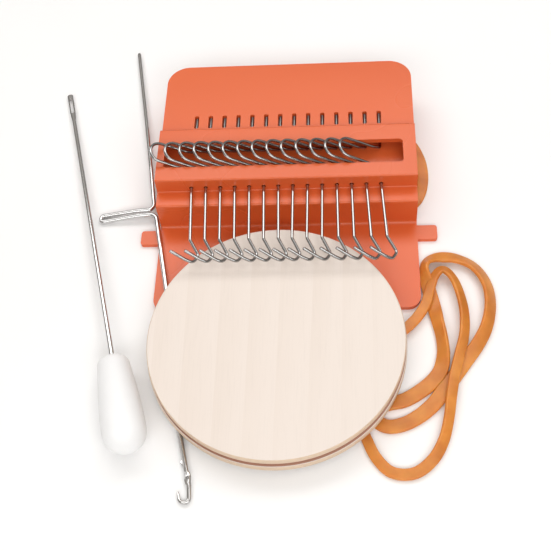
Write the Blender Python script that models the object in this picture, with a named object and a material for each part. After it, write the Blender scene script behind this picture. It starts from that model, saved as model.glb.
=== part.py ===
"""Small darning loom kit: a hook plate with 14 turning wire hooks, a wooden disc, rubber bands and two hand tools."""

import math

import bmesh
import bpy
from mathutils import Vector

# Every length here is in millimetres; place() turns it into the scene's metres.
MM = 0.001

# The plate's frame has x = 0 at its middle and y = 0 at the wall that the hooks come out of.
# These two put the middle of the whole kit's box over the world's origin.
MIDDLE_X = -8.52
MIDDLE_Y = -12.74

# Hook plate
HOOK_COUNT = 14
PITCH = 4.5
PLATE_HALF = 40.2
WALL = 1.6
PANEL_BOTTOM = -36.8
PANEL_TOP_Z = 1.5
LEDGE_FRONT = -5.8
LEDGE_Z = 12.1
RIDGE_BACK = 20.8
RIDGE_Z = 17.5
DECK_BACK = 50.5
DECK_Z = 14.7
DECK_CORNER = 7.3
PANEL_CORNER = 4.0
BLOCK_BACK = 31.0
WINDOW = (-38.0, 36.2, 5.3, 14.4)
SLOT = (23.4, 28.6)
SIDE_CLEARANCE = 2.4
EAR_END = 46.3
EAR_Y = (-12.4, -7.2)

# Hooks
WIRE_Z = 13.7
WIRE_R = 0.475
BORE_R = 0.7
CRANK_TILT = math.radians(30)
CRANK_REACH = 14.3
CRANK_ROOTS = (14.2, 6.3)
CRANK_ARMS = (13.3, 6.5)
HOOK_END = -19.7

# Disc
DISC_CENTRE = (-2.1, -50.8)
DISC_R = 36.9
DISC_LOWER_R = 37.3
DISC_Z = 3.15
DISC_THICK = 6.45
DISC_TILT = math.radians(1.5)
GROOVE_R = 34.6
GROOVE = (2.6, 4.0)

# Latch tool
TOOL_R = 0.76
LATCH_PIVOT = (-25.5, -89.7, 0.95)
LATCH_LENGTH = 5.4
LATCH_OPEN = math.radians(112)
LATCH_SLOT = 0.62
PIN_R = 0.3

# Needle and guard
NEEDLE_EYE = Vector((-78.2, 52.9, 0.85))
NEEDLE_DIRECTION = Vector((0.258, -0.966, 0.0404)).normalized()
NEEDLE_R = 0.76
NEEDLE_LENGTH = 132.0
EYE_SLOT = (2.2, 9.6, 0.5)
GUARD_START = 112.0
GUARD_LENGTH = 30.0
GUARD_BORE_R = 1.05

# Rubber bands
BAND_WIDTH = 4.2
BAND_THICK = 1.2

# A corner of a route whose half angle is over this is left as it is.
STRAIGHT = math.radians(89.8)


def clear_scene():
    for obj in list(bpy.data.objects):
        bpy.data.objects.remove(obj, do_unlink=True)


def material(name, colour, roughness, metallic=0.0):
    made = bpy.data.materials.new(name)
    made.use_nodes = True
    shader = made.node_tree.nodes["Principled BSDF"]
    shader.inputs["Base Color"].default_value = (*colour, 1.0)
    shader.inputs["Roughness"].default_value = roughness
    shader.inputs["Metallic"].default_value = metallic
    made.diffuse_color = (*colour, 1.0)
    return made


def place(x, y, z):
    """A point of the plate's frame, in the world's metres."""
    return Vector((x - MIDDLE_X, y - MIDDLE_Y, z)) * MM


def link(name, data, surface, at=(0, 0, 0)):
    obj = bpy.data.objects.new(name, data)
    obj.location = place(*at)
    obj.scale = (MM, MM, MM)
    bpy.context.scene.collection.objects.link(obj)
    if surface:
        data.materials.append(surface)
    return obj


def mesh_object(name, bm, surface, at=(0, 0, 0)):
    bmesh.ops.recalc_face_normals(bm, faces=bm.faces)
    mesh = bpy.data.meshes.new(name)
    bm.to_mesh(mesh)
    bm.free()
    return link(name, mesh, surface, at)


def shade_round(obj, angle=40):
    for face in obj.data.polygons:
        face.use_smooth = True
    obj.data.set_sharp_from_angle(angle=math.radians(angle))


def prism(bm, outline, axis, low, high):
    """Extrudes a closed outline of (u, v) points along one axis. The other two axes hold u and v in order."""
    def corner(u, v, w):
        spot = [u, v]
        spot.insert("xyz".index(axis), w)
        return spot
    start = [bm.verts.new(corner(u, v, low)) for u, v in outline]
    face = bm.faces.new(start)
    grown = bmesh.ops.extrude_face_region(bm, geom=[face])
    moved = [item for item in grown["geom"] if isinstance(item, bmesh.types.BMVert)]
    shift = Vector(corner(0, 0, high - low))
    bmesh.ops.translate(bm, verts=moved, vec=shift)


def box(bm, x, y, z):
    prism(bm, [(x[0], y[0]), (x[1], y[0]), (x[1], y[1]), (x[0], y[1])], "z", *z)


def rounded_corner(centre, radius, start, steps=6):
    """Points of a quarter circle, anticlockwise from the start angle in degrees."""
    angles = [math.radians(start + 90 * i / steps) for i in range(steps + 1)]
    return [(centre[0] + radius * math.cos(a), centre[1] + radius * math.sin(a)) for a in angles]


def plan_outline(inset):
    """The plate's outline from above, moved inwards by inset."""
    half = PLATE_HALF - inset
    bottom, top = PANEL_BOTTOM + inset, DECK_BACK - inset
    small, large = PANEL_CORNER - inset, DECK_CORNER - inset
    return (
        rounded_corner((half - large, top - large), large, 0)
        + rounded_corner((-half + large, top - large), large, 90)
        + rounded_corner((-half + small, bottom + small), small, 180)
        + rounded_corner((half - small, bottom + small), small, 270)
    )


def cut(target, cutter, operation="DIFFERENCE"):
    cutter.hide_render = True
    cutter.display_type = "WIRE"
    step = target.modifiers.new(cutter.name, "BOOLEAN")
    step.operation = operation
    step.solver = "EXACT"
    step.object = cutter


def hook_x(index):
    return (index - (HOOK_COUNT - 1) / 2) * PITCH


def build_plate(surface):
    body = bmesh.new()
    prism(body, plan_outline(0), "z", 0, RIDGE_Z)
    plate = mesh_object("hook_plate", body, surface)

    # The stair, from the low panel at the front up to the ridge and down to the deck
    stair = bmesh.new()
    prism(stair, [
        (PANEL_BOTTOM - 5, -1), (PANEL_BOTTOM - 5, PANEL_TOP_Z), (LEDGE_FRONT, PANEL_TOP_Z), (LEDGE_FRONT, LEDGE_Z),
        (0, LEDGE_Z), (0, RIDGE_Z + 1), (RIDGE_BACK, RIDGE_Z + 1), (RIDGE_BACK, DECK_Z), (DECK_BACK + 5, DECK_Z),
        (DECK_BACK + 5, -1)], "x", -60, 60)
    cut(plate, mesh_object("cutter_stair", stair, None), "INTERSECT")

    # The open underside, left thicker where the hooks turn in the block behind the ridge
    under = bmesh.new()
    prism(under, [
        (LEDGE_FRONT + WALL, -1), (LEDGE_FRONT + WALL, LEDGE_Z - WALL), (BLOCK_BACK, LEDGE_Z - WALL),
        (BLOCK_BACK, DECK_Z - WALL), (DECK_BACK + 5, DECK_Z - WALL), (DECK_BACK + 5, -1)], "x", -60, 60)
    hollow = mesh_object("cutter_underside", under, None)
    inside = bmesh.new()
    prism(inside, plan_outline(WALL), "z", -2, RIDGE_Z - WALL)
    cut(hollow, mesh_object("cutter_inside", inside, None), "INTERSECT")
    cut(plate, hollow)

    # The tray that the cranks turn in, with its window, and the gap below each side wall
    spaces = bmesh.new()
    box(spaces, (-PLATE_HALF + WALL, PLATE_HALF - WALL), (WALL, RIDGE_BACK - WALL), (LEDGE_Z, RIDGE_Z - WALL))
    tray = mesh_object("cutter_tray", spaces, None)
    cut(plate, tray)
    left, right, front, back = WINDOW
    opening = bmesh.new()
    radius = 1.2
    prism(opening, rounded_corner((right - radius, back - radius), radius, 0, 3)
          + rounded_corner((left + radius, back - radius), radius, 90, 3)
          + rounded_corner((left + radius, front + radius), radius, 180, 3)
          + rounded_corner((right - radius, front + radius), radius, 270, 3), "z", RIDGE_Z - WALL - 0.5, RIDGE_Z + 1)
    cut(plate, mesh_object("cutter_window", opening, None))
    gaps = bmesh.new()
    box(gaps, (-60, 60), (LEDGE_FRONT + WALL + 1, DECK_BACK - DECK_CORNER - 1), (-1, SIDE_CLEARANCE))
    cut(plate, mesh_object("cutter_sides", gaps, None))

    # One bore for each hook, and a slot over its far end
    bores = bmesh.new()
    slots = bmesh.new()
    for index in range(HOOK_COUNT):
        x = hook_x(index)
        ring = [(x + BORE_R * math.cos(a), WIRE_Z + BORE_R * math.sin(a))
                for a in (math.radians(22.5 + 45 * i) for i in range(8))]
        prism(bores, ring, "y", -1, SLOT[1])
        box(slots, (x - BORE_R, x + BORE_R), SLOT, (WIRE_Z - BORE_R, DECK_Z + 1))
    cut(plate, mesh_object("cutter_bores", bores, None))
    cut(plate, mesh_object("cutter_slots", slots, None))

    ears = bmesh.new()
    for side in (-1, 1):
        ends = sorted((side * (PLATE_HALF - 1), side * EAR_END))
        box(ears, ends, EAR_Y, (0, PANEL_TOP_Z - 0.1))
    cut(plate, mesh_object("adder_ears", ears, None), "UNION")
    return plate


def rounded_route(corners, steps):
    """A polyline with each inner corner, given as (point, radius), turned into an arc."""
    points = [Vector(corners[0][0])]
    for (before, _), (here, radius), (after, _) in zip(corners, corners[1:], corners[2:]):
        here = Vector(here)
        back, ahead = Vector(before) - here, Vector(after) - here
        half = back.angle(ahead) / 2
        if radius == 0 or half > STRAIGHT:
            points.append(here)
            continue
        reach = min(radius / math.tan(half), 0.49 * back.length, 0.49 * ahead.length)
        start, end = here + back.normalized() * reach, here + ahead.normalized() * reach
        middle = here + (back.normalized() + ahead.normalized()).normalized() * (reach / math.cos(half))
        u, v = start - middle, end - middle
        sweep = u.angle(v)
        for i in range(steps + 1):
            t = i / steps
            points.append(middle + (u * math.sin((1 - t) * sweep) + v * math.sin(t * sweep)) / math.sin(sweep))
    points.append(Vector(corners[-1][0]))
    return points


def wire(name, points, radius, surface, at=(0, 0, 0), sides=6):
    """A round wire along the points, with closed ends."""
    path = bpy.data.curves.new(name, "CURVE")
    path.dimensions = "3D"
    path.bevel_depth = radius
    path.bevel_resolution = sides // 2 - 2
    path.use_fill_caps = True
    path.twist_mode = "MINIMUM"
    line = path.splines.new("POLY")
    line.points.add(len(points) - 1)
    for spot, point in zip(line.points, points):
        spot.co = (*point, 1)
    return link(name, path, surface, at)


def hook_route():
    """One hook about its own axis: far end, crank to the left, shaft, and the hook itself."""
    side, up = -math.cos(CRANK_TILT), math.sin(CRANK_TILT)

    def flat(reach, y):
        # The wire is bent flat, and its plane leans so that each hook clears the next.
        return (reach * side, y, reach * up)

    corners = [
        ((0, SLOT[1] - 0.4, 0), 0),
        ((0, CRANK_ROOTS[0], 0), 0.7),
        (flat(2.6, CRANK_ARMS[0] + 0.2), 2),
        (flat(CRANK_REACH, CRANK_ARMS[0]), 3.3),
        (flat(CRANK_REACH, CRANK_ARMS[1]), 3.3),
        ((0, CRANK_ROOTS[1], 0), 0.7),
        ((0, HOOK_END, 0), 1.5),
        (flat(-2.9, HOOK_END - 4.8), 1.6),
        (flat(-1.2, HOOK_END - 7.7), 1.6),
        (flat(1.4, HOOK_END - 7.3), 3),
        (flat(6.1, HOOK_END - 5.9), 0),
    ]
    return rounded_route(corners, 3)


def build_hooks(surface):
    route = hook_route()
    for index in range(HOOK_COUNT):
        wire(f"hook_{index + 1:02d}", route, WIRE_R, surface, (hook_x(index), 0, WIRE_Z))


def lathe(bm, profile, sides):
    """Turns a profile of (radius, z) points, first and last on the axis, about Z."""
    rings = []
    for radius, z in profile:
        if radius == 0:
            rings.append([bm.verts.new((0, 0, z))])
            continue
        angles = [2 * math.pi * i / sides for i in range(sides)]
        rings.append([bm.verts.new((radius * math.cos(a), radius * math.sin(a), z)) for a in angles])
    for lower, upper in zip(rings, rings[1:]):
        for i in range(sides):
            j = (i + 1) % sides
            corners = [lower[i % len(lower)], lower[j % len(lower)], upper[j % len(upper)], upper[i % len(upper)]]
            bm.faces.new(list(dict.fromkeys(corners)))


def build_disc(surface):
    top, rim = DISC_THICK, 0.7
    profile = [
        (0, 0), (DISC_LOWER_R - rim, 0), (DISC_LOWER_R, rim), (DISC_LOWER_R, GROOVE[0]), (GROOVE_R, GROOVE[0] + 0.4),
        (GROOVE_R, GROOVE[1] - 0.4), (DISC_R, GROOVE[1]), (DISC_R, top - rim), (DISC_R - rim, top), (0, top)]
    turned = bmesh.new()
    lathe(turned, profile, 64)
    disc = mesh_object("wooden_disc", turned, surface, (*DISC_CENTRE, DISC_Z))
    # It lies on the tool's stem near the plate, and lower at its free edge.
    disc.rotation_euler.x = DISC_TILT
    shade_round(disc, 30)


def build_tool(steel):
    level, low = 2.35, 0.78
    corners = [
        ((-55.3, 71.5, low + 0.02), 0), ((-49.4, 39.2, 1.9), 60), ((-45.6, 17.5, level), 60),
        ((-42.9, 0.5, level), 2.0), ((-48.5, 0.15, level), 6), ((-60.3, -0.6, low + 0.05), 1.0),
        ((-60.2, -2.95, low + 0.05), 1.0), ((-48.5, -1.85, level), 6), ((-42.2, -1.25, level), 2.4), ((-41.0, -7.1, level), 8), ((-37.8, -22.7, level), 40),
        ((-36.3, -30.0, 2.33), 30), ((-35.3, -37.2, 2.3), 30), ((-33.9, -46.0, 2.03), 30), ((-29.0, -75.5, 1.2), 30),
        (LATCH_PIVOT, 0), ((-25.0, -92.2, 0.85), 1.4),
        ((-24.6, -96.5, low), 1.3), ((-27.3, -96.2, low), 1.2), ((-27.8, -93.6, low), 0)]
    tool = wire("latch_tool", rounded_route(corners, 4), TOOL_R, steel, sides=8)
    tool.data.resolution_u = 1
    # The wire is a curve, so its slotted hook end is cut once the curve is a mesh.
    shape = bpy.data.meshes.new_from_object(tool)
    bpy.data.objects.remove(tool, do_unlink=True)
    tool = link("latch_tool", shape, None)
    x, y, z = LATCH_PIVOT
    cheeks = bmesh.new()
    ring = [(x + 1.15 * math.cos(a), y + 1.5 * math.sin(a)) for a in (math.radians(45 * i) for i in range(8))]
    prism(cheeks, ring, "z", z - 0.92, z + 0.92)
    cut(tool, mesh_object("adder_cheeks", cheeks, None), "UNION")
    gap = bmesh.new()
    box(gap, (x - 3.5, x + 3.2), (y - 2.2, y + 5.9), (z - LATCH_SLOT / 2, z + LATCH_SLOT / 2))
    cut(tool, mesh_object("cutter_latch_slot", gap, None))
    hole = bmesh.new()
    prism(hole, [(x + 0.38 * math.cos(a), y + 0.38 * math.sin(a))
                 for a in (math.radians(30 * i) for i in range(12))], "z", z - 2, z + 2)
    cut(tool, mesh_object("cutter_latch_hole", hole, None))


def build_latch(steel):
    """The blade that closes the hook, lying open, about the middle of its pin."""
    blade = bmesh.new()
    tail, half = 0.62, 0.3
    outline = [(tail * math.cos(a), tail * math.sin(a)) for a in (math.radians(60 + 30 * i) for i in range(9))]
    outline += [(2.0, -half), (LATCH_LENGTH - 0.9, -half), (LATCH_LENGTH, -0.5), (LATCH_LENGTH + 0.3, 0),
                (LATCH_LENGTH, 0.5), (LATCH_LENGTH - 0.9, half), (2.0, half)]
    prism(blade, outline, "z", -0.22, 0.22)
    latch = mesh_object("latch", blade, steel, LATCH_PIVOT)
    latch.rotation_euler.z = LATCH_OPEN
    hole = bmesh.new()
    prism(hole, [(0.36 * math.cos(a), 0.36 * math.sin(a))
                 for a in (math.radians(30 * i) for i in range(12))], "z", -1, 1)
    cut(latch, mesh_object("cutter_latch_bore", hole, None, LATCH_PIVOT))

    turned = bmesh.new()
    end = 0.9
    lathe(turned, [(0, -end), (PIN_R, -end), (PIN_R, end), (0, end)], 12)
    mesh_object("latch_pin", turned, steel, LATCH_PIVOT)


def along_needle(obj):
    obj.rotation_mode = "QUATERNION"
    obj.rotation_quaternion = NEEDLE_DIRECTION.to_track_quat("Z", "X")


def build_needle(steel):
    r, end = NEEDLE_R, NEEDLE_LENGTH
    turned = bmesh.new()
    lathe(turned, [(0, 0), (0.6, 0.15), (r, 1.0), (r, end - 14), (0.45, end - 2), (0.2, end), (0, end)], 12)
    # The eye end is flattened: wider across and thinner through, easing back to round.
    for vert in turned.verts:
        ease = min(1, max(0, (EYE_SLOT[1] + 4 - vert.co.z) / 4))
        vert.co.y *= 1 + 0.35 * ease
        vert.co.x *= 1 - 0.25 * ease
    needle = mesh_object("needle", turned, steel, NEEDLE_EYE)
    along_needle(needle)
    eye = bmesh.new()
    start, stop, half = EYE_SLOT
    box(eye, (-3, 3), (-half, half), (start, stop))
    slot = mesh_object("cutter_eye", eye, None, NEEDLE_EYE)
    along_needle(slot)
    cut(needle, slot)
    shade_round(needle)


def guard_profile():
    """The guard's outside, from its mouth round to its far end, as (radius, distance) points."""
    points = [(GUARD_BORE_R, 0.6)]
    points += [(4.4 - 2.4 * (1 - math.sin(a)), 1.9 * (1 - math.cos(a)))
               for a in (math.radians(90 * i / 4) for i in range(5))]
    points += [(5.3, 8.0), (5.95, 15.0), (6.2, 21.0)]
    points += [(6.15 * math.cos(a), GUARD_LENGTH - 6.0 + 6.0 * math.sin(a))
               for a in (math.radians(90 * i / 6) for i in range(1, 6))]
    return points + [(0, GUARD_LENGTH)]


def build_guard(surface):
    bore_end = NEEDLE_LENGTH - GUARD_START + 1.5
    turned = bmesh.new()
    lathe(turned, [(0, bore_end), (GUARD_BORE_R, bore_end)] + guard_profile(), 20)
    guard = mesh_object("needle_guard", turned, surface, NEEDLE_EYE + NEEDLE_DIRECTION * GUARD_START)
    along_needle(guard)
    shade_round(guard)


def closed_curve(points, steps):
    """A smooth closed loop through the points, by Catmull-Rom."""
    loop = []
    count = len(points)
    for i in range(count):
        a, b, c, d = (Vector(points[(i + k) % count]) for k in (-1, 0, 1, 2))
        for s in range(steps):
            t = s / steps
            loop.append(0.5 * ((2 * b) + (c - a) * t + (2 * a - 5 * b + 4 * c - d) * t ** 2
                               + (3 * b - a - 3 * c + d) * t ** 3))
    return loop


def build_band(name, points, surface, width=BAND_WIDTH):
    """A flat rubber band lying on its side: points give the middle of its lower face."""
    loop = closed_curve(points, 3)
    for spot in loop:
        spot.z = max(spot.z, 0)
    bm = bmesh.new()
    rings = []
    for i, here in enumerate(loop):
        run = loop[(i + 1) % len(loop)] - loop[i - 1]
        across = Vector((run.y, -run.x, 0)).normalized() * width / 2
        up = Vector((0, 0, BAND_THICK))
        rings.append([bm.verts.new(spot) for spot in
                      (here - across, here + across, here + across + up, here - across + up)])
    for i, ring in enumerate(rings):
        ahead = rings[(i + 1) % len(rings)]
        for k in range(4):
            bm.faces.new((ring[k], ring[(k + 1) % 4], ahead[(k + 1) % 4], ahead[k]))
    mesh_object(name, bm, surface)


# The middle of each band's lower face, in order round the loop
OUTER_BAND = [
    (43.0, -24.0, 0.0), (44.6, -20.8, 0.0), (48.0, -19.5, 0.0), (52.0, -20.6, 0.0), (56.5, -23.9, 0.0),
    (59.3, -29.7, 0.0), (59.7, -36.6, 0.0), (58.1, -43.7, 0.0), (55.3, -49.3, 0.0), (51.8, -54.4, 0.0),
    (48.4, -59.2, 0.0), (45.0, -63.8, 0.0), (42.0, -67.8, 0.0), (38.0, -71.4, 0.0), (33.5, -73.9, 0.0),
    (29.0, -74.6, 0.0), (26.0, -72.6, 0.0), (26.1, -69.2, 0.0), (29.4, -67.7, 0.0), (34.5, -66.4, 0.0),
    (40.4, -62.4, 0.0), (44.3, -58.0, 0.0), (45.8, -53.1, 0.0), (45.8, -47.5, 0.0), (44.9, -41.8, 0.0),
    (43.9, -36.4, 0.0), (43.0, -30.6, 0.0)]
INNER_BAND = [
    (47.1, -24.9, 1.3), (49.6, -28.2, 1.3), (51.2, -33.8, 1.3), (51.9, -40.0, 1.3), (51.4, -46.7, 1.3),
    (49.8, -53.2, 1.3), (48.0, -59.8, 1.3), (46.7, -66.0, 1.3), (45.5, -72.4, 0.7), (43.8, -78.6, 0.0),
    (41.1, -83.8, 0.0), (37.2, -87.5, 0.0), (33.1, -88.6, 0.0), (28.9, -87.5, 0.0), (25.5, -83.5, 0.0),
    (23.2, -78.5, 0.0), (21.2, -73.1, 0.0), (20.6, -66.4, 0.0), (23.4, -57.6, 0.4), (28.1, -50.3, 1.0),
    (32.3, -46.4, 1.3), (35.6, -43.9, 1.3), (38.8, -40.4, 1.3), (41.4, -36.0, 1.3), (43.2, -30.9, 1.3),
    (44.8, -26.9, 1.3)]
SMALL_BAND = [
    (43.0, 11.5, 0.0), (42.2, 20.0, 0.0), (38.5, 28.0, 0.0), (31.0, 32.0, 0.0), (23.5, 29.0, 0.0),
    (20.0, 20.0, 0.0), (20.0, 9.0, 0.0), (24.0, 1.0, 0.0), (31.0, -0.9, 0.0), (38.0, 0.6, 0.0), (41.5, 4.5, 0.0)]


def main():
    clear_scene()
    plastic = material("orange_plastic", (0.80, 0.17, 0.07), 0.35)
    steel = material("steel_wire", (0.62, 0.61, 0.60), 0.25, 1.0)
    wood = material("pale_wood", (0.86, 0.74, 0.60), 0.6)
    white = material("white_rubber", (0.88, 0.88, 0.88), 0.6)
    amber = material("amber_rubber", (0.55, 0.22, 0.06), 0.4)
    build_plate(plastic)
    build_hooks(steel)
    build_disc(wood)
    build_tool(steel)
    build_latch(steel)
    build_needle(steel)
    build_guard(white)
    build_band("rubber_band_outer", OUTER_BAND, amber)
    build_band("rubber_band_inner", INNER_BAND, amber, 3.2)
    build_band("rubber_band_small", SMALL_BAND, amber, 3.6)


main()
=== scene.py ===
"""The looks of the darning loom kit: moulded plate, wires, turned disc, rubber bands and hand tools."""

import math

import bmesh
import bpy
from mathutils import Matrix, Vector


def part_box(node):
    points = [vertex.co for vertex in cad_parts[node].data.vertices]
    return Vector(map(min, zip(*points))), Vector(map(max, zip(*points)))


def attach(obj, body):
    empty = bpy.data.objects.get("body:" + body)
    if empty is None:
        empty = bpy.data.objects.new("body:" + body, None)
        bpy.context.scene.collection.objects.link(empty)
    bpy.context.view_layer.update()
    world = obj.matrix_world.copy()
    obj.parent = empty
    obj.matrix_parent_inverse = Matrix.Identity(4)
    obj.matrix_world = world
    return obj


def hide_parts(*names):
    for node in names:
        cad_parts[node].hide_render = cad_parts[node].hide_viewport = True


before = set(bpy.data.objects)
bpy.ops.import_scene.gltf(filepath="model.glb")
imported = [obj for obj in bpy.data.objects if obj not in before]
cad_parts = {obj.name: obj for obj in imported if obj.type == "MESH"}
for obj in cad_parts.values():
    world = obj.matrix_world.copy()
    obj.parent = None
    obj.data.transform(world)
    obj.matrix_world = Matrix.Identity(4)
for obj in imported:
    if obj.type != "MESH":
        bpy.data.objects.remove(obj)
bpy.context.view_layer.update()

MM = 0.001

# ---------------------------------------------------------------- the plate's frame
# Lengths below are in millimetres, in the frame that part.py uses: x = 0 at the plate's middle,
# y = 0 at the wall that the hooks come out of, z = 0 on the table. The CAD plate's box says where that
# frame lies.

PLATE_HALF = 40.2
PANEL_BOTTOM = -36.8
EAR_END = 46.3
plate_low, plate_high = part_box("hook_plate")
ORIGIN = Vector(((plate_low.x + plate_high.x) / 2, plate_low.y - PANEL_BOTTOM * MM, plate_low.z))

HOOK_COUNT = 14
PITCH = 4.5
WALL = 1.6
PANEL_TOP_Z = 1.5
LEDGE_FRONT = -5.8
LEDGE_Z = 12.1
RIDGE_BACK = 20.8
RIDGE_Z = 17.5
DECK_BACK = 50.5
DECK_Z = 14.7
DECK_CORNER = 7.3
PANEL_CORNER = 4.0
BLOCK_BACK = 31.0
# left, right, front, back
WINDOW = (-38.0, 36.2, 5.3, 14.4)
WINDOW_CORNER = 1.2
SLOT = (23.4, 28.6)
SLOT_CORNER = 0.45
SLOT_DEPTH_BELOW_WIRE = 0.5
SIDE_CLEARANCE = 2.4
SIDE_CORNER = 1.2
EAR_Y = (-12.4, -7.2)
EAR_CORNER = 0.9
EAR_BELOW_PANEL = 0.1
# Fillets of the steps, from the panel's foot over the ledge and the ridge to the deck.
FOOT_FILLET = 1.1
LEDGE_FILLET = 0.7
WALL_FOOT_FILLET = 0.45
RIDGE_FRONT_FILLET = 0.55
RIDGE_BACK_FILLET = 0.6
UNDER_FILLETS = (0.5, 0.4, 0.6)
PLATE_EDGE = 0.26
# How far the cutting solids reach past the plate, in front and behind, and to its sides.
PAST = 5
PAST_SIDES = 60

WIRE_Z = 13.7
WIRE_R = 0.475
WIRE_SIDES = 14
BORE_R = 0.7
CRANK_TILT = math.radians(30)
CRANK_REACH = 14.3
CRANK_ROOTS = (14.2, 6.3)
CRANK_ARMS = (13.3, 6.5)
CRANK_BEND = 3.3
ROOT_BEND = 0.7
HOOK_END = -19.7
# The hook past the shaft's end: reach to the left, distance from that end, bend radius.
HOOK_TIP = ((-2.9, 4.8, 1.6), (-1.2, 7.7, 1.6), (1.4, 7.3, 3), (6.0, 5.85, 0))
# How far each free end lies to the right of its bore, by the play of the wire in it.
HOOK_DRIFT = (1.1, 1.0, 0.9, 0.8, 0.7, 0.6, 0.5, 0.1, 0.0, 0.0, 0.35, 0.45, 1.0, 1.15)
DRIFT_LIMIT = 1.2

DISC_CENTRE = (-2.1, -50.8)
DISC_R = 36.9
DISC_LOWER_R = 37.3
DISC_Z = 3.15
DISC_THICK = 6.45
DISC_TILT = math.radians(1.5)
DISC_EDGE = 0.5
DISC_SIDES = 160
GROOVE_R = 34.6
GROOVE = (2.6, 4.0)
GROOVE_FILLET = 0.3
GROOVE_DRAFT = 0.15

TOOL_R = 0.76
TOOL_SIDES = 18
TOOL_HIGH = 2.35
TOOL_LOW = 0.78
LATCH_PIVOT = (-25.5, -89.7, 0.95)
# The wire of the tool from its upper end, round the T grip, down the stem to the hook: point, bend radius.
TOOL_ROUTE = (
    ((-55.3, 71.5, TOOL_LOW + 0.02), 0),
    ((-49.4, 39.2, 1.9), 60),
    ((-45.6, 17.5, TOOL_HIGH), 60),
    ((-42.9, 0.5, TOOL_HIGH), 2.0),
    ((-48.5, 0.15, TOOL_HIGH), 6),
    ((-60.3, -0.6, TOOL_LOW + 0.05), 1.0),
    ((-60.2, -2.95, TOOL_LOW + 0.05), 1.0),
    ((-48.5, -1.85, TOOL_HIGH), 6),
    ((-42.2, -1.25, TOOL_HIGH), 2.4),
    ((-41.0, -7.1, TOOL_HIGH), 8),
    ((-37.8, -22.7, TOOL_HIGH), 40),
    ((-36.3, -30.0, 2.33), 30),
    ((-35.3, -37.2, 2.3), 30),
    ((-33.9, -46.0, 2.03), 30),
    ((-29.0, -75.5, 1.2), 30),
    (LATCH_PIVOT, 0),
    ((-25.0, -92.2, 0.85), 3.0),
    ((-24.6, -96.5, TOOL_LOW), 1.3),
    ((-27.3, -96.2, TOOL_LOW), 1.2),
    ((-27.9, -93.6, TOOL_LOW), 0),
)
TOOL_HOOK_LENGTH = 9.0
# Shares of the wire's length where the stouter stem starts, and over which it swells and thins again.
STEM_START = 0.50
STEM_SWELL = 0.04
STEM_THIN = 0.08
CHEEK_R = 0.82
CHEEK_HALF = 0.74
CHEEK_CORNER = 0.2
CHEEK_STRETCH = 2.4
LATCH_LENGTH = 5.4
LATCH_OPEN = math.radians(112)
LATCH_SLOT = 0.62
BLADE_HALF_WIDTH = 0.28
BLADE_HALF_THICK = 0.2
BLADE_TAIL_R = 0.6
SPOON_R = 0.5
PIN_R = 0.3
PIN_HALF = 0.78
PIN_CORNER = 0.06
TOOL_PIN_HOLE_R = 0.36
BLADE_HOLE_R = 0.34

NEEDLE_EYE = Vector((-78.2, 52.9, 0.85))
NEEDLE_DIRECTION = Vector((0.258, -0.966, 0.0404)).normalized()
NEEDLE_R = 0.76
NEEDLE_LENGTH = 132.0
NEEDLE_TOP_R = 0.8
# The point, as distance from the end and radius.
NEEDLE_POINT = ((7, 0.7), (2, 0.45), (0.2, 0.2))
# start, stop, half width
EYE_SLOT = (2.2, 9.6, 0.5)
EYE_EASE = 4
EYE_WIDER = 0.35
EYE_THINNER = 0.25
GUARD_START = 112.0
GUARD_LENGTH = 30.0
GUARD_BORE_R = 1.05
# The guard's side between its rounded ends: radius, distance from the mouth.
GUARD_SIDE = ((5.0, 5.0), (5.35, 8.5), (5.75, 12.5), (6.0, 16.5), (6.18, 20.5), (6.2, 23.0))

BAND_THICK = 1.2
BAND_EDGE = 0.45
BAND_STEPS = 14
# The lift of a leaning strip, as a share of its width, and the gap below it.
BAND_LIFT = 0.54
BAND_GAP = 0.02
# The width of a cut strip wanders by this share, three times round the loop.
BAND_WANDER = 0.04

# A corner of a route whose half angle is over this is left as it is.
STRAIGHT = math.radians(89.8)

# ---------------------------------------------------------------- materials
# Pairs of linear colours, the ends of each material's own variation.

ORANGE = ((0.70, 0.118, 0.028), (0.745, 0.134, 0.034))
AMBER = ((0.58, 0.19, 0.026), (0.74, 0.29, 0.050))
WHITE = ((0.93, 0.93, 0.94), (0.96, 0.96, 0.97))
FACE_WOOD = ((0.79, 0.692, 0.617), (0.82, 0.727, 0.658))
RIM_WOOD = ((0.62, 0.44, 0.30), (0.78, 0.60, 0.44))
# The groove's dark tone is painted shade, the shade down in the groove between the flanges.
GROOVE_SHADE_WOOD = ((0.36, 0.17, 0.11), (0.50, 0.26, 0.18))
# Level and roughness of each kind of wire.
HOOK_STEEL = (0.42, (0.11, 0.14))
# The wire ends down in the deck's slots: a darker level, which is painted shade of the slots.
SLOT_SHADE_STEEL = (0.26, (0.30, 0.40))
TOOL_STEEL = (0.66, (0.10, 0.16))


def shader_of(name):
    made = bpy.data.materials.new(name)
    made.use_nodes = True
    return made, made.node_tree, made.node_tree.nodes["Principled BSDF"]


def set_values(shader, values):
    for socket, value in values.items():
        shader.inputs[socket].default_value = value


def texture_space(tree, stretch=(1, 1, 1)):
    """The object's own coordinates in millimetres, stretched along an axis where that is under 1."""
    where = tree.nodes.new("ShaderNodeTexCoord")
    scale = tree.nodes.new("ShaderNodeMapping")
    scale.inputs["Scale"].default_value = [s / MM for s in stretch]
    tree.links.new(where.outputs["Object"], scale.inputs["Vector"])
    return scale.outputs["Vector"]


def noise(tree, vector, scale, detail, roughness=0.5):
    node = tree.nodes.new("ShaderNodeTexNoise")
    node.inputs["Scale"].default_value = scale
    node.inputs["Detail"].default_value = detail
    node.inputs["Roughness"].default_value = roughness
    tree.links.new(vector, node.inputs["Vector"])
    return node.outputs["Fac"]


def ramp(tree, value, stops):
    node = tree.nodes.new("ShaderNodeValToRGB")
    marks = node.color_ramp.elements
    while len(marks) < len(stops):
        marks.new(0.5)
    for mark, (position, colour) in zip(marks, stops):
        mark.position = position
        mark.color = (*colour, 1.0)
    tree.links.new(value, node.inputs["Fac"])
    return node.outputs["Color"]


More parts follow.
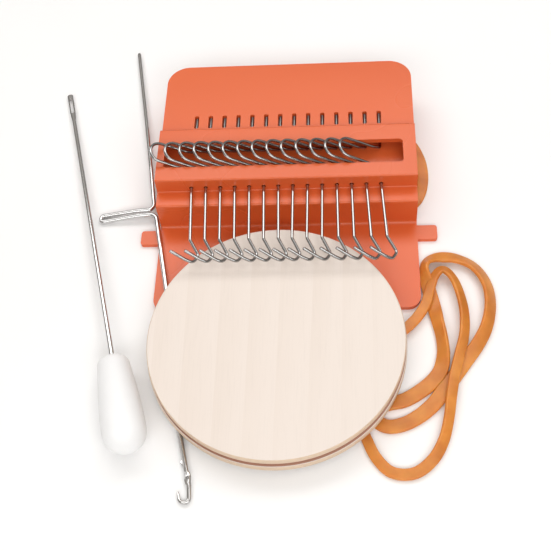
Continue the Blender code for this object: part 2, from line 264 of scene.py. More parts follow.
def fade(tree, value, span, first, last):
    """From the first colour to the last as the value crosses the span. A bare number stands for a grey."""
    colours = [grey(end) if isinstance(end, float) else end for end in (first, last)]
    return ramp(tree, value, list(zip(span, colours)))


def grey(level):
    return (level, level, level)


def mix(tree, share, first, second, blend="MIX"):
    node = tree.nodes.new("ShaderNodeMix")
    node.data_type = "RGBA"
    node.blend_type = blend
    node.inputs["Factor"].default_value = share
    tree.links.new(first, node.inputs["A"])
    tree.links.new(second, node.inputs["B"])
    return node.outputs["Result"]


def bump(tree, shader, height, strength, distance):
    node = tree.nodes.new("ShaderNodeBump")
    node.inputs["Strength"].default_value = strength
    node.inputs["Distance"].default_value = distance * MM
    tree.links.new(height, node.inputs["Height"])
    tree.links.new(node.outputs["Normal"], shader.inputs["Normal"])


def moulded_plastic():
    """Orange polystyrene: even colour and gloss, with broad faint flow marks."""
    made, tree, shader = shader_of("moulded_orange")
    flow = noise(tree, texture_space(tree, (0.25, 1, 1)), 0.04, 1)
    tree.links.new(fade(tree, flow, (0.3, 0.7), *ORANGE), shader.inputs["Base Color"])
    polish = noise(tree, texture_space(tree), 0.04, 1)
    tree.links.new(fade(tree, polish, (0.35, 0.65), 0.27, 0.31), shader.inputs["Roughness"])
    set_values(shader, {"IOR": 1.5})
    return made


def drawn_steel(name, level, rough):
    """Steel wire: fine drawing lines along Y, and broad duller patches."""
    made, tree, shader = shader_of(name)
    lines = noise(tree, texture_space(tree, (1, 0.08, 1)), 5.0, 4, 0.6)
    patches = noise(tree, texture_space(tree), 0.06, 2)
    worn = (level * 0.92, level * 0.90, level * 0.88)
    tree.links.new(fade(tree, patches, (0.3, 0.7), worn, level), shader.inputs["Base Color"])
    tree.links.new(fade(tree, lines, (0.3, 0.7), *rough), shader.inputs["Roughness"])
    bump(tree, shader, lines, 0.02, 0.02)
    set_values(shader, {"Metallic": 1.0})
    return made


def sanded_wood(name, tones, end_grain=False):
    """Pale close-grained wood: growth bands across the blank, fine pores and a little mottling."""
    made, tree, shader = shader_of(name)
    bands = tree.nodes.new("ShaderNodeTexWave")
    bands.wave_type = "BANDS"
    bands.bands_direction = "Z" if end_grain else "X"
    bands.wave_profile = "SAW"
    band_scale = 0.9 if end_grain else 0.035
    set_values(bands, {"Scale": band_scale, "Distortion": 5.0, "Detail": 2.0, "Detail Scale": 0.6})
    tree.links.new(texture_space(tree, (1, 0.12, 1)), bands.inputs["Vector"])
    pores = noise(tree, texture_space(tree, (1, 0.05, 1)), 1.9, 4, 0.65)
    cloud = noise(tree, texture_space(tree, (1, 0.35, 1)), 0.05, 3)
    blend = mix(tree, 0.55, bands.outputs["Color"], fade(tree, cloud, (0.3, 0.7), 0.1, 0.9))
    tone = fade(tree, blend, (0.1, 0.6), *tones)
    specks = fade(tree, pores, (0.32, 0.5), 0.975, 1.0)
    tree.links.new(mix(tree, 1.0, tone, specks, "MULTIPLY"), shader.inputs["Base Color"])
    tree.links.new(fade(tree, pores, (0.3, 0.7), 0.62, 0.5), shader.inputs["Roughness"])
    bump(tree, shader, pores, 0.18, 0.05)
    return made


def natural_rubber():
    """Amber latex strip: lets some light in, with cloudy density and a soft bloom."""
    made, tree, shader = shader_of("amber_latex")
    cloud = noise(tree, texture_space(tree), 0.16, 3)
    tree.links.new(fade(tree, cloud, (0.3, 0.7), *AMBER), shader.inputs["Base Color"])
    fine = noise(tree, texture_space(tree, (1, 1, 3)), 1.4, 3)
    tree.links.new(fade(tree, fine, (0.3, 0.7), 0.34, 0.50), shader.inputs["Roughness"])
    bump(tree, shader, fine, 0.15, 0.06)
    set_values(shader, {
        "Subsurface Weight": 0.55,
        "Subsurface Radius": (1.0, 0.45, 0.15),
        "Subsurface Scale": 0.002,
        "IOR": 1.52,
    })
    return made


def soft_white():
    """The guard's foamed rubber: white, matte and faintly translucent."""
    made, tree, shader = shader_of("soft_white")
    space = texture_space(tree)
    tree.links.new(fade(tree, noise(tree, space, 0.12, 2), (0.3, 0.7), *WHITE), shader.inputs["Base Color"])
    bump(tree, shader, noise(tree, space, 2.2, 3), 0.10, 0.05)
    set_values(shader, {
        "Roughness": 0.55,
        "Subsurface Weight": 0.7,
        "Subsurface Radius": (1.0, 1.0, 1.0),
        "Subsurface Scale": 0.005,
    })
    return made


# ---------------------------------------------------------------- mesh building


def place(x, y, z):
    return ORIGIN + Vector((x, y, z)) * MM


def mesh_object(name, bm, surface=None, at=(0, 0, 0), turn=None):
    """An object from a mesh in millimetres, at a point of the plate's frame, turned about that point."""
    bmesh.ops.recalc_face_normals(bm, faces=bm.faces)
    bmesh.ops.scale(bm, vec=(MM, MM, MM), verts=bm.verts)
    mesh = bpy.data.meshes.new(name)
    bm.to_mesh(mesh)
    bm.free()
    obj = bpy.data.objects.new(name, mesh)
    obj.matrix_world = Matrix.Translation(place(*at)) @ (turn or Matrix.Identity(4))
    bpy.context.scene.collection.objects.link(obj)
    if surface:
        mesh.materials.append(surface)
    return obj


def smooth(obj, angle):
    for face in obj.data.polygons:
        face.use_smooth = True
    obj.data.set_sharp_from_angle(angle=math.radians(angle))


def finish_piece(obj, body, node):
    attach(obj, body)
    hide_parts(node)


def corner(axis, u, v, w):
    spot = [u, v]
    spot.insert("xyz".index(axis), w)
    return spot


def prism(bm, outline, axis, low, high):
    """Extrudes a closed outline of (u, v) points along one axis. The other two axes hold u and v in order."""
    ends = [[bm.verts.new(corner(axis, u, v, w)) for u, v in outline] for w in (low, high)]
    bm.faces.new(ends[0])
    bm.faces.new(ends[1][::-1])
    bridge(bm, *ends)


def bridge(bm, ring, ahead):
    for i in range(len(ring)):
        j = (i + 1) % len(ring)
        bm.faces.new((ring[i], ring[j], ahead[j], ahead[i]))


def arc(centre, radius, start, sweep, steps):
    angles = [math.radians(start + sweep * i / steps) for i in range(steps + 1)]
    return [(centre[0] + radius * math.cos(a), centre[1] + radius * math.sin(a)) for a in angles]


def rectangle(left, right, front, back):
    return [(left, front), (right, front), (right, back), (left, back)]


def rounded_rectangle(left, right, front, back, radius, steps):
    return (
        arc((right - radius, back - radius), radius, 0, 90, steps)
        + arc((left + radius, back - radius), radius, 90, 90, steps)
        + arc((left + radius, front + radius), radius, 180, 90, steps)
        + arc((right - radius, front + radius), radius, 270, 90, steps)
    )


def plan_outline(inset):
    """The plate's outline from above, moved inwards by inset."""
    half = PLATE_HALF - inset
    bottom, top = PANEL_BOTTOM + inset, DECK_BACK - inset
    small, large = PANEL_CORNER - inset, DECK_CORNER - inset
    return (
        arc((half - large, top - large), large, 0, 90, 16)
        + arc((-half + large, top - large), large, 90, 90, 16)
        + arc((-half + small, bottom + small), small, 180, 90, 12)
        + arc((half - small, bottom + small), small, 270, 90, 12)
    )


def apply_modifiers(obj):
    bpy.context.view_layer.update()
    shape = bpy.data.meshes.new_from_object(obj.evaluated_get(bpy.context.evaluated_depsgraph_get()))
    obj.modifiers.clear()
    shape.name = obj.name
    obj.data = shape


def boolean(target, other, operation="DIFFERENCE"):
    """Applies a Boolean at once and removes the other object."""
    step = target.modifiers.new("boolean", "BOOLEAN")
    step.operation = operation
    step.solver = "EXACT"
    step.object = other
    apply_modifiers(target)
    bpy.data.objects.remove(other, do_unlink=True)


def shape_with(target, outline, axis, low, high, operation="DIFFERENCE", at=(0, 0, 0), turn=None):
    """Cuts, adds or intersects an extruded outline, at a point of the plate's frame."""
    bm = bmesh.new()
    prism(bm, outline, axis, low, high)
    boolean(target, mesh_object("cutter", bm, None, at, turn), operation)


def round_edges(obj, width, segments):
    step = obj.modifiers.new("round_edges", "BEVEL")
    step.width = width * MM
    step.segments = segments
    step.limit_method = "ANGLE"
    step.angle_limit = math.radians(40)
    apply_modifiers(obj)


def bend(here, back, ahead, reach, away, steps):
    """An arc that replaces the corner at here. It starts and ends at reach, and its centre is at away."""
    start, end = here + back.normalized() * reach, here + ahead.normalized() * reach
    middle = here + (back.normalized() + ahead.normalized()).normalized() * away
    first, last = start - middle, end - middle
    sweep = first.angle(last)
    shares = [k / steps for k in range(steps + 1)]
    return [middle + (first * math.sin((1 - t) * sweep) + last * math.sin(t * sweep)) / math.sin(sweep)
            for t in shares]


def filleted(corners, steps=6):
    """A closed outline with each corner, given as (u, v, radius), turned into an arc."""
    outline = []
    count = len(corners)
    for i, (u, v, radius) in enumerate(corners):
        if radius == 0:
            outline.append((u, v))
            continue
        here = Vector((u, v))
        back = Vector(corners[i - 1][:2]) - here
        ahead = Vector(corners[(i + 1) % count][:2]) - here
        half = back.angle(ahead) / 2
        spots = bend(here, back, ahead, radius / math.tan(half), radius / math.sin(half), steps)
        outline += [(spot.x, spot.y) for spot in spots]
    return outline


def rounded_route(corners, steps):
    """A polyline with each inner corner, given as (point, radius), turned into an arc."""
    points = [Vector(corners[0][0])]
    for (before, _), (here, radius), (after, _) in zip(corners, corners[1:], corners[2:]):
        here = Vector(here)
        back, ahead = Vector(before) - here, Vector(after) - here
        half = back.angle(ahead) / 2
        if radius == 0 or half > STRAIGHT:
            points.append(here)
            continue
        reach = min(radius / math.tan(half), 0.49 * back.length, 0.49 * ahead.length)
        points += bend(here, back, ahead, reach, reach / math.cos(half), steps)
    points.append(Vector(corners[-1][0]))
    return points


def spread(points, longest):
    """Adds points on long straight runs, so that no step is longer than the given length."""
    dense = [points[0]]
    for here, after in zip(points, points[1:]):
        parts = max(1, math.ceil((after - here).length / longest))
        dense += [here.lerp(after, k / parts) for k in range(1, parts + 1)]
    return dense


def clamp(value, low=0, high=1):
    return min(high, max(low, value))


def swept_wire(bm, points, radius_at, sides):
    """A round wire with domed ends along the points. radius_at takes a share of the length."""
    lengths = [0.0]
    for here, after in zip(points, points[1:]):
        lengths.append(lengths[-1] + (after - here).length)
    total = lengths[-1]
    stations = []
    for i, here in enumerate(points):
        run = (points[min(i + 1, len(points) - 1)] - points[max(i - 1, 0)]).normalized()
        stations.append((here, run, radius_at(lengths[i] / total)))

    def dome(station, sign):
        here, run, radius = station
        steps = [(0.9, 0.35), (0.6, 0.55)]
        return [(here + run * (sign * radius * out), run, radius * share) for share, out in steps]

    stations = dome(stations[0], -1)[::-1] + stations + dome(stations[-1], 1)
    side = stations[0][1].orthogonal().normalized()
    angles = [2 * math.pi * k / sides for k in range(sides)]
    rings = []
    for here, run, radius in stations:
        side = (side - run * side.dot(run)).normalized()
        other = run.cross(side)
        rings.append([
            bm.verts.new(here + (side * math.cos(a) + other * math.sin(a)) * radius) for a in angles])
    for ring, ahead in zip(rings, rings[1:]):
        bridge(bm, ring, ahead)
    bm.faces.new(rings[0][::-1])
    bm.faces.new(rings[-1])


def lathe(bm, profile, sides):
    """Turns a profile of (radius, z) points, first and last on the axis, about Z."""
    angles = [2 * math.pi * i / sides for i in range(sides)]
    rings = []
    for radius, z in profile:
        if radius == 0:
            rings.append([bm.verts.new((0, 0, z))])
            continue
        rings.append([bm.verts.new((radius * math.cos(a), radius * math.sin(a), z)) for a in angles])
    for lower, upper in zip(rings, rings[1:]):
        for i in range(sides):
            j = (i + 1) % sides
            corners = [lower[i % len(lower)], lower[j % len(lower)]]
            corners += [upper[j % len(upper)], upper[i % len(upper)]]
            bm.faces.new(list(dict.fromkeys(corners)))


# ---------------------------------------------------------------- the hook plate


def hook_x(index):
    return (index - (HOOK_COUNT - 1) / 2) * PITCH


def stair_outline():
    """The plate's top from the side: panel, ledge, ridge and deck."""
    front, back = PANEL_BOTTOM - PAST, DECK_BACK + PAST
    return filleted([
        (front, -1, 0),
        (front, PANEL_TOP_Z, 0),
        (LEDGE_FRONT, PANEL_TOP_Z, FOOT_FILLET),
        (LEDGE_FRONT, LEDGE_Z, LEDGE_FILLET),
        (0, LEDGE_Z, WALL_FOOT_FILLET),
        (0, RIDGE_Z, RIDGE_FRONT_FILLET),
        (RIDGE_BACK, RIDGE_Z, RIDGE_BACK_FILLET),
        (RIDGE_BACK, DECK_Z, RIDGE_BACK_FILLET),
        (back, DECK_Z, 0),
        (back, -1, 0),
    ])


def under_outline():
    """The hollow below the plate from the side, with the thicker block that holds the wires in front."""
    front, back = LEDGE_FRONT + WALL, DECK_BACK + PAST
    first, second, third = UNDER_FILLETS
    return filleted([
        (front, -1, 0),
        (front, LEDGE_Z - WALL, first),
        (BLOCK_BACK, LEDGE_Z - WALL, second),
        (BLOCK_BACK, DECK_Z - WALL, third),
        (back, DECK_Z - WALL, 0),
        (back, -1, 0),
    ])


def build_plate(surface):
    solid = bmesh.new()
    prism(solid, plan_outline(0), "z", 0, RIDGE_Z + 2)
    plate = mesh_object("plate_moulding", solid, surface)
    shape_with(plate, stair_outline(), "x", -PAST_SIDES, PAST_SIDES, "INTERSECT")

    under = bmesh.new()
    prism(under, under_outline(), "x", -PAST_SIDES, PAST_SIDES)
    hollow = mesh_object("underside", under)
    shape_with(hollow, plan_outline(WALL), "z", -2, RIDGE_Z - WALL, "INTERSECT")
    boolean(plate, hollow)

    tray = rectangle(-PLATE_HALF + WALL, PLATE_HALF - WALL, WALL, RIDGE_BACK - WALL)
    shape_with(plate, tray, "z", LEDGE_Z, RIDGE_Z - WALL)
    shape_with(plate, rounded_rectangle(*WINDOW, WINDOW_CORNER, 8), "z", RIDGE_Z - WALL - 0.5, RIDGE_Z + 1)

    front, back = LEDGE_FRONT + WALL + 1, DECK_BACK - DECK_CORNER - 1
    side_gaps = filleted([
        (front, -1, 0),
        (back, -1, 0),
        (back, SIDE_CLEARANCE, SIDE_CORNER),
        (front, SIDE_CLEARANCE, SIDE_CORNER),
    ])
    shape_with(plate, side_gaps, "x", -PAST_SIDES, PAST_SIDES)

    for side in (-1, 1):
        inner, outer = sorted((side * (PLATE_HALF - 1), side * EAR_END))
        ear = rounded_rectangle(inner, outer, *EAR_Y, EAR_CORNER, 6)
        shape_with(plate, ear, "z", 0, PANEL_TOP_Z - EAR_BELOW_PANEL, "UNION")

    bores = bmesh.new()
    slots = bmesh.new()
    for index in range(HOOK_COUNT):
        x = hook_x(index)
        prism(bores, arc((x, WIRE_Z), BORE_R, 0, 337.5, 15), "y", -1, SLOT[1])
        slot = rounded_rectangle(x - BORE_R, x + BORE_R, *SLOT, SLOT_CORNER, 4)
        prism(slots, slot, "z", WIRE_Z - SLOT_DEPTH_BELOW_WIRE, DECK_Z + 1)
    boolean(plate, mesh_object("bores", bores))
    boolean(plate, mesh_object("slots", slots))
    round_edges(plate, PLATE_EDGE, 3)
    smooth(plate, 30)
    plate.modifiers.new("even_shading", "WEIGHTED_NORMAL").keep_sharp = True
    apply_modifiers(plate)
    finish_piece(plate, "plate", "hook_plate")


# ---------------------------------------------------------------- the hooks


def hook_corners():
    """One hook about its own axis: far end, crank to the left, shaft, and the hook itself."""
    side, up = -math.cos(CRANK_TILT), math.sin(CRANK_TILT)

    def flat(reach, y):
        # The wire is bent flat, and its plane leans so that each hook clears the next.
        return (reach * side, y, reach * up)

    return [
        ((0, SLOT[1] - 0.65, 0), 0),
        ((0, CRANK_ROOTS[0], 0), ROOT_BEND),
        (flat(2.6, CRANK_ARMS[0] + 0.2), 2),
        (flat(CRANK_REACH, CRANK_ARMS[0]), CRANK_BEND),
        (flat(CRANK_REACH, CRANK_ARMS[1]), CRANK_BEND),
        ((0, CRANK_ROOTS[1], 0), ROOT_BEND),
        ((0, HOOK_END, 0), 1.5),
    ] + [(flat(reach, HOOK_END - past), radius) for reach, past, radius in HOOK_TIP]


def build_hooks(surface, slot_shade_surface):
    route = spread(rounded_route(hook_corners(), 8), 3.0)
    for index, drift in enumerate(HOOK_DRIFT):
        lean = [Vector((drift * clamp(spot.y / HOOK_END, high=DRIFT_LIMIT), 0, 0)) for spot in route]
        wire = bmesh.new()
        swept_wire(wire, [spot + aside for spot, aside in zip(route, lean)], lambda share: WIRE_R, WIRE_SIDES)
        name = f"hook_{index + 1:02d}"
        hook = mesh_object(f"wire_{name}", wire, surface, (hook_x(index), 0, WIRE_Z))
        hook.data.materials.append(slot_shade_surface)
        # Wire faces behind the ridge, down in the deck's slots, take the darker steel: painted shade.
        for polygon in hook.data.polygons:
            polygon.material_index = int(polygon.center.y > RIDGE_BACK * MM)
        smooth(hook, 50)
        finish_piece(hook, name, name)


# ---------------------------------------------------------------- the disc


def disc_profile():
    """The rim from below: lower flange, groove with drafted sides, upper flange, and the face."""
    low, high = GROOVE
    top, edge, fillet = DISC_THICK, DISC_EDGE, GROOVE_FILLET
    profile = [(0, 0)]
    profile += arc((DISC_LOWER_R - edge, edge), edge, -90, 90, 5)
    profile += arc((DISC_LOWER_R - fillet, low - fillet), fillet, 0, 90, 4)
    profile += arc((GROOVE_R + fillet, low + GROOVE_DRAFT + fillet), fillet, 270, -90, 4)
    profile += arc((GROOVE_R + fillet, high - GROOVE_DRAFT - fillet), fillet, 180, -90, 4)
    profile += arc((DISC_R - fillet, high + fillet), fillet, -90, 90, 4)
    profile += arc((DISC_R - edge, top - edge), edge, 0, 90, 5)
    # Rings on the flat face keep its shading even.
    profile += [(DISC_R - 1.2, top), (DISC_R * 0.6, top), (0, top)]
    return profile


def build_disc(face, rim, groove):
    low, high = GROOVE
    turned = bmesh.new()
    lathe(turned, disc_profile(), DISC_SIDES)
    lean = Matrix.Rotation(DISC_TILT, 4, "X")
    disc = mesh_object("turned_disc", turned, face, (*DISC_CENTRE, DISC_Z), lean)
    disc.data.materials.append(rim)
    disc.data.materials.append(groove)
    for polygon in disc.data.polygons:
        middle = polygon.center / MM
        inside = math.hypot(middle.x, middle.y) < DISC_R - 0.45
        # A face inside the groove takes the dark wood, which is the groove's painted shade.
        if inside and low - 0.05 < middle.z < high + 0.05:
            polygon.material_index = 2
        elif abs(polygon.normal.z) < 0.75:
            polygon.material_index = 1
    smooth(disc, 40)
    finish_piece(disc, "disc", "wooden_disc")


# ---------------------------------------------------------------- the latch tool


def build_tool(surface):
    points = spread(rounded_route(TOOL_ROUTE, 10), 2.5)
    total = sum((after - here).length for here, after in zip(points, points[1:]))
    hook_share = 1 - TOOL_HOOK_LENGTH / total

    def radius_at(share):
        # The lower stem is stouter than the grip, and the hook at its end is drawn thin.
        stout = clamp((share - STEM_START) / STEM_SWELL) * clamp((hook_share - share) / STEM_THIN)
        thin = clamp((share - hook_share) / (1 - hook_share))
        return TOOL_R * (0.94 + 0.12 * stout - 0.50 * thin * thin)

    wire = bmesh.new()
    swept_wire(wire, points, radius_at, TOOL_SIDES)
    tool = mesh_object("tool_wire", wire, surface)
    cheeks = bmesh.new()
    lathe(cheeks, [
        (0, -CHEEK_HALF),
        (CHEEK_R - CHEEK_CORNER, -CHEEK_HALF),
        (CHEEK_R, -0.55),
        (CHEEK_R, 0.55),
        (CHEEK_R - CHEEK_CORNER, CHEEK_HALF),
        (0, CHEEK_HALF),
    ], 28)
    for vert in cheeks.verts:
        vert.co.y *= CHEEK_STRETCH
    boolean(tool, mesh_object("cheeks", cheeks, surface, LATCH_PIVOT), "UNION")
    gap = rectangle(-3.5, 3.2, -2.2, 5.9)
    shape_with(tool, gap, "z", -LATCH_SLOT / 2, LATCH_SLOT / 2, at=LATCH_PIVOT)
    shape_with(tool, arc((0, 0), TOOL_PIN_HOLE_R, 0, 345, 23), "z", -2, 2, at=LATCH_PIVOT)
    smooth(tool, 40)
    finish_piece(tool, "tool", "latch_tool")


def blade_outline():
    """The latch from its tail round the pivot to the spoon at its tip, along +X."""
    half, neck, shoulder = BLADE_HALF_WIDTH, LATCH_LENGTH - 1.3, LATCH_LENGTH - 0.6
    outline = arc((0, 0), BLADE_TAIL_R, 55, 250, 16)
    outline += [(1.6, -half), (neck, -half), (shoulder, -SPOON_R)]
    outline += arc((LATCH_LENGTH - 0.25, 0), SPOON_R, -70, 140, 8)
    outline += [(shoulder, SPOON_R), (neck, half), (1.6, half)]
    return outline


def build_latch(surface):
    blade = bmesh.new()
    prism(blade, blade_outline(), "z", -BLADE_HALF_THICK, BLADE_HALF_THICK)
    turn = Matrix.Rotation(LATCH_OPEN, 4, "Z")
    latch = mesh_object("latch_blade", blade, surface, LATCH_PIVOT, turn)
    shape_with(latch, arc((0, 0), BLADE_HOLE_R, 0, 345, 23), "z", -1, 1, at=LATCH_PIVOT, turn=turn)
    round_edges(latch, 0.06, 2)
    smooth(latch, 40)
    finish_piece(latch, "latch", "latch")


def build_pin(surface):
    turned = bmesh.new()
    lathe(turned, [
        (0, -PIN_HALF),
        (PIN_R - PIN_CORNER, -PIN_HALF),
        (PIN_R, -PIN_HALF + PIN_CORNER),
        (PIN_R, PIN_HALF - PIN_CORNER),
        (PIN_R - PIN_CORNER, PIN_HALF),
        (0, PIN_HALF),
    ], 24)
    pin = mesh_object("pivot_pin", turned, surface, LATCH_PIVOT)
    smooth(pin, 40)
    finish_piece(pin, "tool", "latch_pin")


# ---------------------------------------------------------------- the needle and its guard


def needle_turn():
    return NEEDLE_DIRECTION.to_track_quat("Z", "X").to_matrix().to_4x4()


def needle_profile():
    dome = [math.radians(15 * k) for k in range(1, 7)]
    eye_end = EYE_SLOT[1]
    profile = [(0, 0.0)]
    profile += [(NEEDLE_TOP_R * math.sin(a), NEEDLE_TOP_R - NEEDLE_TOP_R * math.cos(a)) for a in dome]
    profile += [(NEEDLE_R, z) for z in (1.6, 6.0, eye_end, eye_end + 2, eye_end + 4, 60, NEEDLE_LENGTH - 14)]
    profile += [(radius, NEEDLE_LENGTH - short) for short, radius in NEEDLE_POINT]
    profile += [(0, NEEDLE_LENGTH)]
    return profile


def build_needle(surface):
    turned = bmesh.new()
    lathe(turned, needle_profile(), 32)
    start, stop, half = EYE_SLOT
    # The eye end is flattened: wider across and thinner through, easing back to round.
    for vert in turned.verts:
        ease = clamp((stop + EYE_EASE - vert.co.z) / EYE_EASE)
        ease = ease * ease * (3 - 2 * ease)
        vert.co.y *= 1 + EYE_WIDER * ease
        vert.co.x *= 1 - EYE_THINNER * ease
    needle = mesh_object("needle_shaft", turned, surface, NEEDLE_EYE, needle_turn())
    eye = arc((0, start + half), half, 180, 180, 10) + arc((0, stop - half), half, 0, 180, 10)
    shape_with(needle, eye, "x", -3, 3, at=NEEDLE_EYE, turn=needle_turn())
    smooth(needle, 40)
    finish_piece(needle, "needle", "needle")


def build_guard(surface):
    mouth = GUARD_BORE_R
    bore_end = NEEDLE_LENGTH - GUARD_START + 1.5
    profile = [(0, bore_end), (mouth, bore_end), (mouth, 0.8)]
    profile += arc((mouth + 0.5, 0.8), 0.5, 180, 80, 5)
    profile += arc((2.6, 2.2), 2.1, -88, 80, 9)
    profile += GUARD_SIDE
    profile += arc((0.15, GUARD_LENGTH - 6.0), 6.0, 4, 80, 12)
    profile += [(0, GUARD_LENGTH)]
    turned = bmesh.new()
    lathe(turned, profile, 72)
    at = NEEDLE_EYE + NEEDLE_DIRECTION * GUARD_START
    guard = mesh_object("point_guard", turned, surface, at, needle_turn())
    smooth(guard, 60)
    finish_piece(guard, "guard", "needle_guard")


# ---------------------------------------------------------------- the rubber bands
# Each loop is a row of points: x, y, lowest z, and the strip's lean in degrees, outer edge up.

OUTER_BAND = [
    (42.0, -24.5, 0.0, 62), (43.4, -21.0, 0.0, 40), (47.4, -19.5, 0.0, 20), (52.0, -20.6, 0.0, 28),
    (56.5, -23.9, 0.0, 36), (59.3, -29.7, 0.0, 40), (59.7, -36.6, 0.0, 40), (58.1, -43.7, 0.0, 34),
    (55.3, -49.3, 0.0, 22), (51.8, -54.4, 0.0, 6), (48.4, -59.2, 0.0, 0), (45.0, -63.8, 0.0, 0),
    (42.0, -67.8, 0.0, 0), (38.0, -71.4, 0.0, 0), (33.5, -73.9, 0.0, 0), (29.0, -74.6, 0.0, 0),
    (26.0, -72.6, 0.0, 0), (26.1, -69.2, 0.0, 0), (29.4, -67.7, 0.0, 0), (34.5, -66.4, 0.0, 0),
    (40.4, -62.4, 0.0, 0), (44.3, -58.0, 0.0, 8), (45.8, -53.1, 0.0, 38), (45.8, -47.5, 0.0, 50),
    (44.9, -41.8, 0.0, 42), (43.9, -36.4, 0.0, 12), (42.8, -30.6, 0.0, 14)]
INNER_BAND = [
    (47.1, -24.9, 1.3, 30), (49.6, -28.2, 1.3, 40), (51.2, -33.8, 1.3, 40), (51.9, -40.0, 1.3, 38),
    (51.4, -46.7, 1.3, 34), (49.8, -53.2, 1.3, 20), (48.0, -59.8, 1.3, 14), (46.7, -66.0, 1.3, 20),
    (45.5, -72.4, 0.7, 30), (43.8, -78.6, 0.0, 30), (41.1, -83.8, 0.0, 16), (37.2, -87.5, 0.0, 6),
    (33.1, -88.6, 0.0, 4), (28.9, -87.5, 0.0, 6), (25.5, -83.5, 0.0, 14), (23.2, -78.5, 0.0, 0),
    (21.2, -73.1, 0.0, 0), (20.6, -66.4, 0.0, 0), (23.4, -57.6, 0.4, 0), (28.1, -50.3, 1.0, 0),
    (32.3, -46.4, 1.3, 0), (35.6, -43.9, 1.3, 0), (38.8, -40.4, 1.3, 0), (41.4, -36.0, 1.3, 0),
    (43.2, -30.9, 1.3, 20), (44.8, -26.9, 1.3, 30)]
SMALL_BAND = [
    (43.0, 11.5, 0.0, 0), (42.2, 20.0, 0.0, 0), (38.5, 28.0, 0.0, 0), (31.0, 32.0, 0.0, 0),
    (23.5, 29.0, 0.0, 0),
    (20.0, 20.0, 0.0, 0), (20.0, 9.0, 0.0, 0), (24.0, 1.0, 0.0, 0), (31.0, -0.9, 0.0, 0), (38.0, 0.6, 0.0, 0),
    (41.5, 4.5, 0.0, 0)]
BANDS = (
    ("band_outer", "rubber_band_outer", OUTER_BAND, 4.2),
    ("band_inner", "rubber_band_inner", INNER_BAND, 3.2),
    ("band_small", "rubber_band_small", SMALL_BAND, 3.6),
)


def closed_curve(points, steps):
    """A smooth closed loop through the points, by Catmull-Rom."""
    loop = []
    count = len(points)
    for i in range(count):
        a, b, c, d = (Vector(points[(i + k) % count]) for k in (-1, 0, 1, 2))
        for s in range(steps):
            t = s / steps
            loop.append(0.5 * ((2 * b) + (c - a) * t + (2 * a - 5 * b + 4 * c - d) * t ** 2
                               + (3 * b - a - 3 * c + d) * t ** 3))
    return loop


def build_band(name, node, points, width, surface):
    """A flat strip, cut from a tube, that lies in a loop."""
    loop = closed_curve(points, BAND_STEPS)
    section = rounded_rectangle(-width / 2, width / 2, 0, BAND_THICK, BAND_EDGE, 4)
    count = len(loop)
    bm = bmesh.new()
    rings = []
    for i, here in enumerate(loop):
        run = (loop[(i + 1) % count] - loop[i - 1]).to_3d()
        across = Vector((run.y, -run.x, 0)).normalized()
        tilt = math.radians(here.w)
        u = across * math.cos(tilt) + Vector((0, 0, math.sin(tilt)))
        v = Vector((0, 0, math.cos(tilt))) - across * math.sin(tilt)
        # A leaning strip is lifted so that its lower edge stays on the table.
        lift = abs(math.sin(tilt)) * width * BAND_LIFT + BAND_GAP
        base = Vector((here.x, here.y, max(here.z, 0) + lift))
        pinch = 1 + BAND_WANDER * math.sin(3 * 2 * math.pi * i / count)
        rings.append([bm.verts.new(base + u * (s * pinch) + v * t) for s, t in section])
    for i, ring in enumerate(rings):
        bridge(bm, ring, rings[(i + 1) % count])
    band = mesh_object(name, bm, surface)
    smooth(band, 60)
    finish_piece(band, "plate", node)


# ---------------------------------------------------------------- stage, light and camera

CAMERA_AZIMUTH = 8.14
CAMERA_ELEVATION = 56.77
CAMERA_ROLL = -7.84
CAMERA_DISTANCE = 289.9
CAMERA_TARGET = (-2.22, -32.67, 13.5)
CAMERA_LENS = 65.33

# Softboxes in metres: name, place, aim, size, power in watts.
SOFTBOXES = (
    ("key", (0.06, -0.50, 0.46), (0, -0.02, 0), (0.90, 0.22), 2.5),
    ("back_softbox", (-0.05, 0.33, 0.52), (0, 0, 0), (0.90, 0.24), 1.75),
    ("top_softbox", (0.20, 0.0, 0.62), (0, 0, 0), (0.40, 0.40), 0.6),
)
# The sky's level against the sine of its height above the horizon, and its warm tint.
SKY = ((0.0, 0.02), (0.18, 0.05), (0.5, 0.44), (1.0, 0.50))
SKY_TINT = (1, 0.95, 0.89)


def build_camera():
    around, above, roll = (math.radians(a) for a in (CAMERA_AZIMUTH, CAMERA_ELEVATION, CAMERA_ROLL))
    back = Vector((math.sin(around) * math.cos(above), -math.cos(around) * math.cos(above), math.sin(above)))
    level = Vector((math.cos(around), math.sin(around), 0))
    upright = back.cross(level)
    right = math.cos(roll) * level + math.sin(roll) * upright
    up = -math.sin(roll) * level + math.cos(roll) * upright
    data = bpy.data.cameras.new("camera")
    data.sensor_width = 36
    data.lens = CAMERA_LENS
    data.clip_start = 0.01
    camera = bpy.data.objects.new("camera", data)
    turn = Matrix((right, up, back)).transposed().to_4x4()
    camera.matrix_world = Matrix.Translation(place(*CAMERA_TARGET) + back * CAMERA_DISTANCE * MM) @ turn
    bpy.context.scene.collection.objects.link(camera)
    bpy.context.scene.camera = camera


def build_floor():
    made, tree, shader = shader_of("pale_table")
    cloud = noise(tree, texture_space(tree), 0.01, 2)
    tree.links.new(fade(tree, cloud, (0.3, 0.7), 0.93, 0.95), shader.inputs["Base Color"])
    set_values(shader, {"Roughness": 0.9, "Specular IOR Level": 0.1})
    flat = bmesh.new()
    bmesh.ops.create_grid(flat, x_segments=1, y_segments=1, size=4000)
    floor = mesh_object("table", flat, made, (0, 0, -0.02))


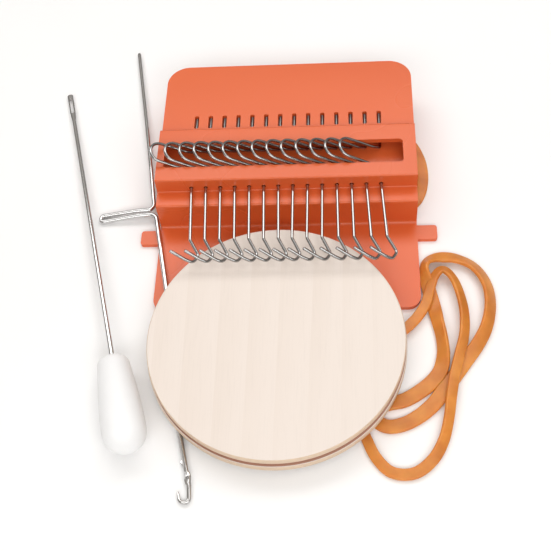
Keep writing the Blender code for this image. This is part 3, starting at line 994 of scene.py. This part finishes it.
def area_light(name, where, aim, size, power):
    data = bpy.data.lights.new(name, "AREA")
    data.shape = "RECTANGLE"
    data.size, data.size_y = size
    data.energy = power
    lamp = bpy.data.objects.new(name, data)
    lamp.location = where
    lamp.rotation_euler = (Vector(aim) - Vector(where)).to_track_quat("-Z", "Y").to_euler()
    bpy.context.scene.collection.objects.link(lamp)


def build_world():
    """A grey sky, dark at the horizon, gives the wires their dark sides. The camera itself sees white."""
    world = bpy.data.worlds.new("studio")
    world.use_nodes = True
    bpy.context.scene.world = world
    tree = world.node_tree
    nodes, links = tree.nodes, tree.links
    nodes.clear()
    where = nodes.new("ShaderNodeTexCoord")
    parts = nodes.new("ShaderNodeSeparateXYZ")
    links.new(where.outputs["Generated"], parts.inputs["Vector"])
    sky = ramp(tree, parts.outputs["Z"], [(at, [tint * level for tint in SKY_TINT]) for at, level in SKY])
    lit = nodes.new("ShaderNodeBackground")
    links.new(sky, lit.inputs["Color"])
    seen = nodes.new("ShaderNodeBackground")
    seen.inputs["Color"].default_value = (1, 1, 1, 1)
    path = nodes.new("ShaderNodeLightPath")
    pick = nodes.new("ShaderNodeMixShader")
    links.new(path.outputs["Is Camera Ray"], pick.inputs["Fac"])
    links.new(lit.outputs["Background"], pick.inputs[1])
    links.new(seen.outputs["Background"], pick.inputs[2])
    out = nodes.new("ShaderNodeOutputWorld")
    links.new(pick.outputs["Shader"], out.inputs["Surface"])


# ---------------------------------------------------------------- everything together


def main():
    build_camera()
    hook_wire = drawn_steel("bright_wire", *HOOK_STEEL)
    # The darker steel of the wire ends in the slots is painted shade.
    slot_shade_wire = drawn_steel("slot_shade_wire", *SLOT_SHADE_STEEL)
    tool_steel = drawn_steel("tool_steel", *TOOL_STEEL)
    wood_face = sanded_wood("sanded_face", FACE_WOOD)
    wood_rim = sanded_wood("turned_rim", RIM_WOOD, end_grain=True)
    # The dark wood in the groove is painted shade.
    groove_shade_wood = sanded_wood("groove_painted_shade", GROOVE_SHADE_WOOD, end_grain=True)
    latex = natural_rubber()
    build_plate(moulded_plastic())
    build_hooks(hook_wire, slot_shade_wire)
    build_disc(wood_face, wood_rim, groove_shade_wood)
    build_tool(tool_steel)
    build_latch(tool_steel)
    build_pin(tool_steel)
    build_needle(tool_steel)
    build_guard(soft_white())
    for band in BANDS:
        build_band(*band, latex)
    build_floor()
    build_world()
    for softbox in SOFTBOXES:
        area_light(*softbox)
    bpy.context.scene.view_settings.view_transform = "Standard"


main()
